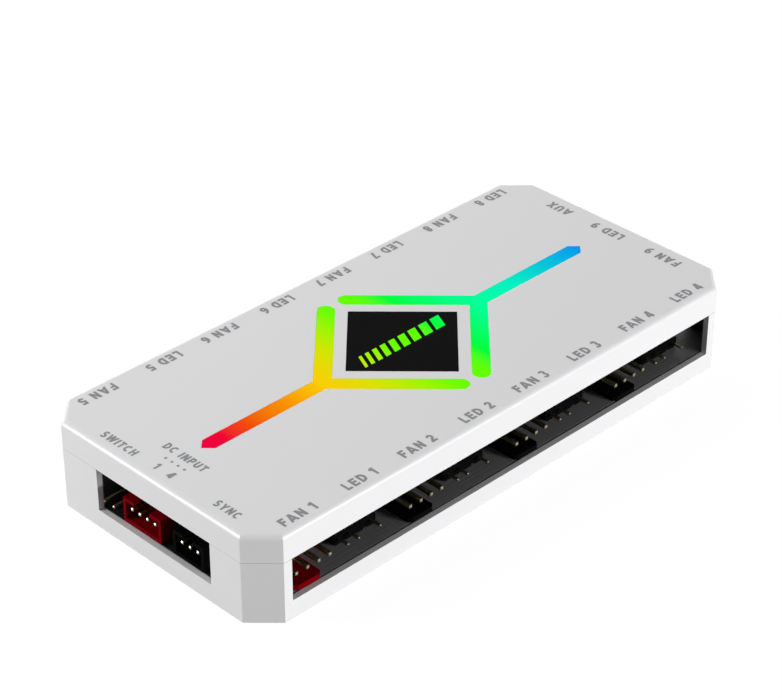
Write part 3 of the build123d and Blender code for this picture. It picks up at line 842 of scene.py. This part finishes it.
def stage_material():
    """Floor whose brightness is mostly its own to the camera, so that it looks white and its shadow stays
    pale. It is clear to a view from below and to the light of the lamps."""
    material = bpy.data.materials.new("studio_floor")
    material.use_nodes = True
    tree = material.node_tree
    tree.nodes.clear()
    paper = add_node(tree, "BsdfDiffuse", Color=PAPER_GREY).outputs["BSDF"]
    glow = add_node(tree, "Emission", Color=PURE_WHITE, Strength=FLOOR_GLOW).outputs["Emission"]
    clear = add_node(tree, "BsdfTransparent").outputs["BSDF"]
    sheet = mix_shaders(tree, calculate(tree, "MULTIPLY", sees_studio(tree), OWN_LIGHT), paper, glow)
    below = add_node(tree, "NewGeometry").outputs["Backfacing"]
    lamp_light = add_node(tree, "LightPath").outputs["Is Shadow Ray"]
    one_way = mix_shaders(tree, calculate(tree, "MAXIMUM", below, lamp_light), sheet, clear)
    tree.links.new(one_way, add_node(tree, "OutputMaterial").inputs["Surface"])
    return material


print("paper gives", OWN_LIGHT, "of its brightness by itself")

# %% Floor and world
FLOOR_HALF, FLOOR_DROP = 3.0, 0.05 * MM
AMBIENT = 0.07
floor_mesh = bpy.data.meshes.new("floor")
floor_corners = np.array([[-1, -1, 0], [1, -1, 0], [1, 1, 0], [-1, 1, 0]]) * FLOOR_HALF
floor_corners[:, 2] = -FLOOR_DROP
floor_mesh.from_pydata(floor_corners.tolist(), [], [(0, 1, 2, 3)])
floor_mesh.materials.append(stage_material())
floor = bpy.data.objects.new("floor", floor_mesh)
bpy.context.scene.collection.objects.link(floor)

world = bpy.data.worlds.new("studio")
bpy.context.scene.world = world
world.use_nodes = True
tree = world.node_tree
tree.nodes.clear()
ambient = add_node(tree, "Background", Color=PURE_WHITE, Strength=AMBIENT).outputs["Background"]
white = add_node(tree, "Background", Color=PURE_WHITE, Strength=1.0).outputs["Background"]
surround = mix_shaders(tree, sees_studio(tree), ambient, white)
tree.links.new(surround, add_node(tree, "OutputWorld").inputs["Surface"])
print("floor", round(2 * FLOOR_HALF, 1), "m across, light from all round", AMBIENT)

# %% [markdown]
# ## Soft boxes
# A small strong box stands low in front, to the right, and lights the long side. A tall strip behind to the
# left lights the left end and draws the bright line along its upper edge. The two leave the cut corner that
# faces the camera the darkest face. A broad box hangs behind the hub for the roof, and a weak one under the
# floor lights the base.

# %% Soft boxes
def soft_box(name, direction, distance, width, height, watts, mirrored=True):
    """A lamp of a width and a height that faces the hub from a direction, unseen by the camera. One that
    isn't mirrored makes no highlight."""
    lamp = bpy.data.lights.new(name, "AREA")
    lamp.shape = "RECTANGLE"
    lamp.size = width
    lamp.size_y = height
    lamp.energy = watts
    holder = bpy.data.objects.new(name, lamp)
    towards = Vector(direction).normalized()
    holder.location = towards * distance
    holder.rotation_mode = "QUATERNION"
    holder.rotation_quaternion = towards.to_track_quat("Z", "Y")
    holder.visible_camera = False
    holder.visible_glossy = mirrored
    bpy.context.scene.collection.objects.link(holder)
    print(name, watts, "W at", distance, "m")


soft_box("front_box", (0.34, -0.93, 0.13), 1.6, 0.45, 0.4, 25.6)
soft_box("strip_box", (-0.73, 0.60, 0.33), 1.2, 0.28, 0.75, 12.2)
soft_box("top_box", (0.22, 0.68, 0.70), 1.2, 1.0, 1.0, 7.9, mirrored=False)
soft_box("under_box", (0.00, 0.00, -1.00), 1.2, 0.5, 0.5, 7.0, mirrored=False)

# %% [markdown]
# # The camera
# The photograph was taken from above the left front corner with a long lens, so the case's edges stay
# nearly parallel. The place and the focal length below come from matching the corners, the windows and the
# pins.

# %% Camera
CAMERA_PLACE = Vector((-0.27401, -0.27433, 0.26485))
YAW, PITCH = math.radians(45.336), math.radians(32.687)
SENSOR_WIDTH, FOCAL_LENGTH = 36.0, 117.33
NEAREST, FURTHEST = 0.01, 20.0
forward = Vector((math.cos(PITCH) * math.cos(YAW), math.cos(PITCH) * math.sin(YAW), -math.sin(PITCH)))
lens = bpy.data.cameras.new("camera")
lens.sensor_width = SENSOR_WIDTH
lens.lens = FOCAL_LENGTH
lens.clip_start = NEAREST
lens.clip_end = FURTHEST
camera = bpy.data.objects.new("camera", lens)
camera.location = CAMERA_PLACE
camera.rotation_mode = "QUATERNION"
camera.rotation_quaternion = forward.to_track_quat("-Z", "Y")
bpy.context.scene.collection.objects.link(camera)
bpy.context.scene.camera = camera
bpy.context.scene.view_settings.view_transform = "Standard"
print("camera", round(CAMERA_PLACE.length, 3), "m from the base's centre, lens", FOCAL_LENGTH, "mm")
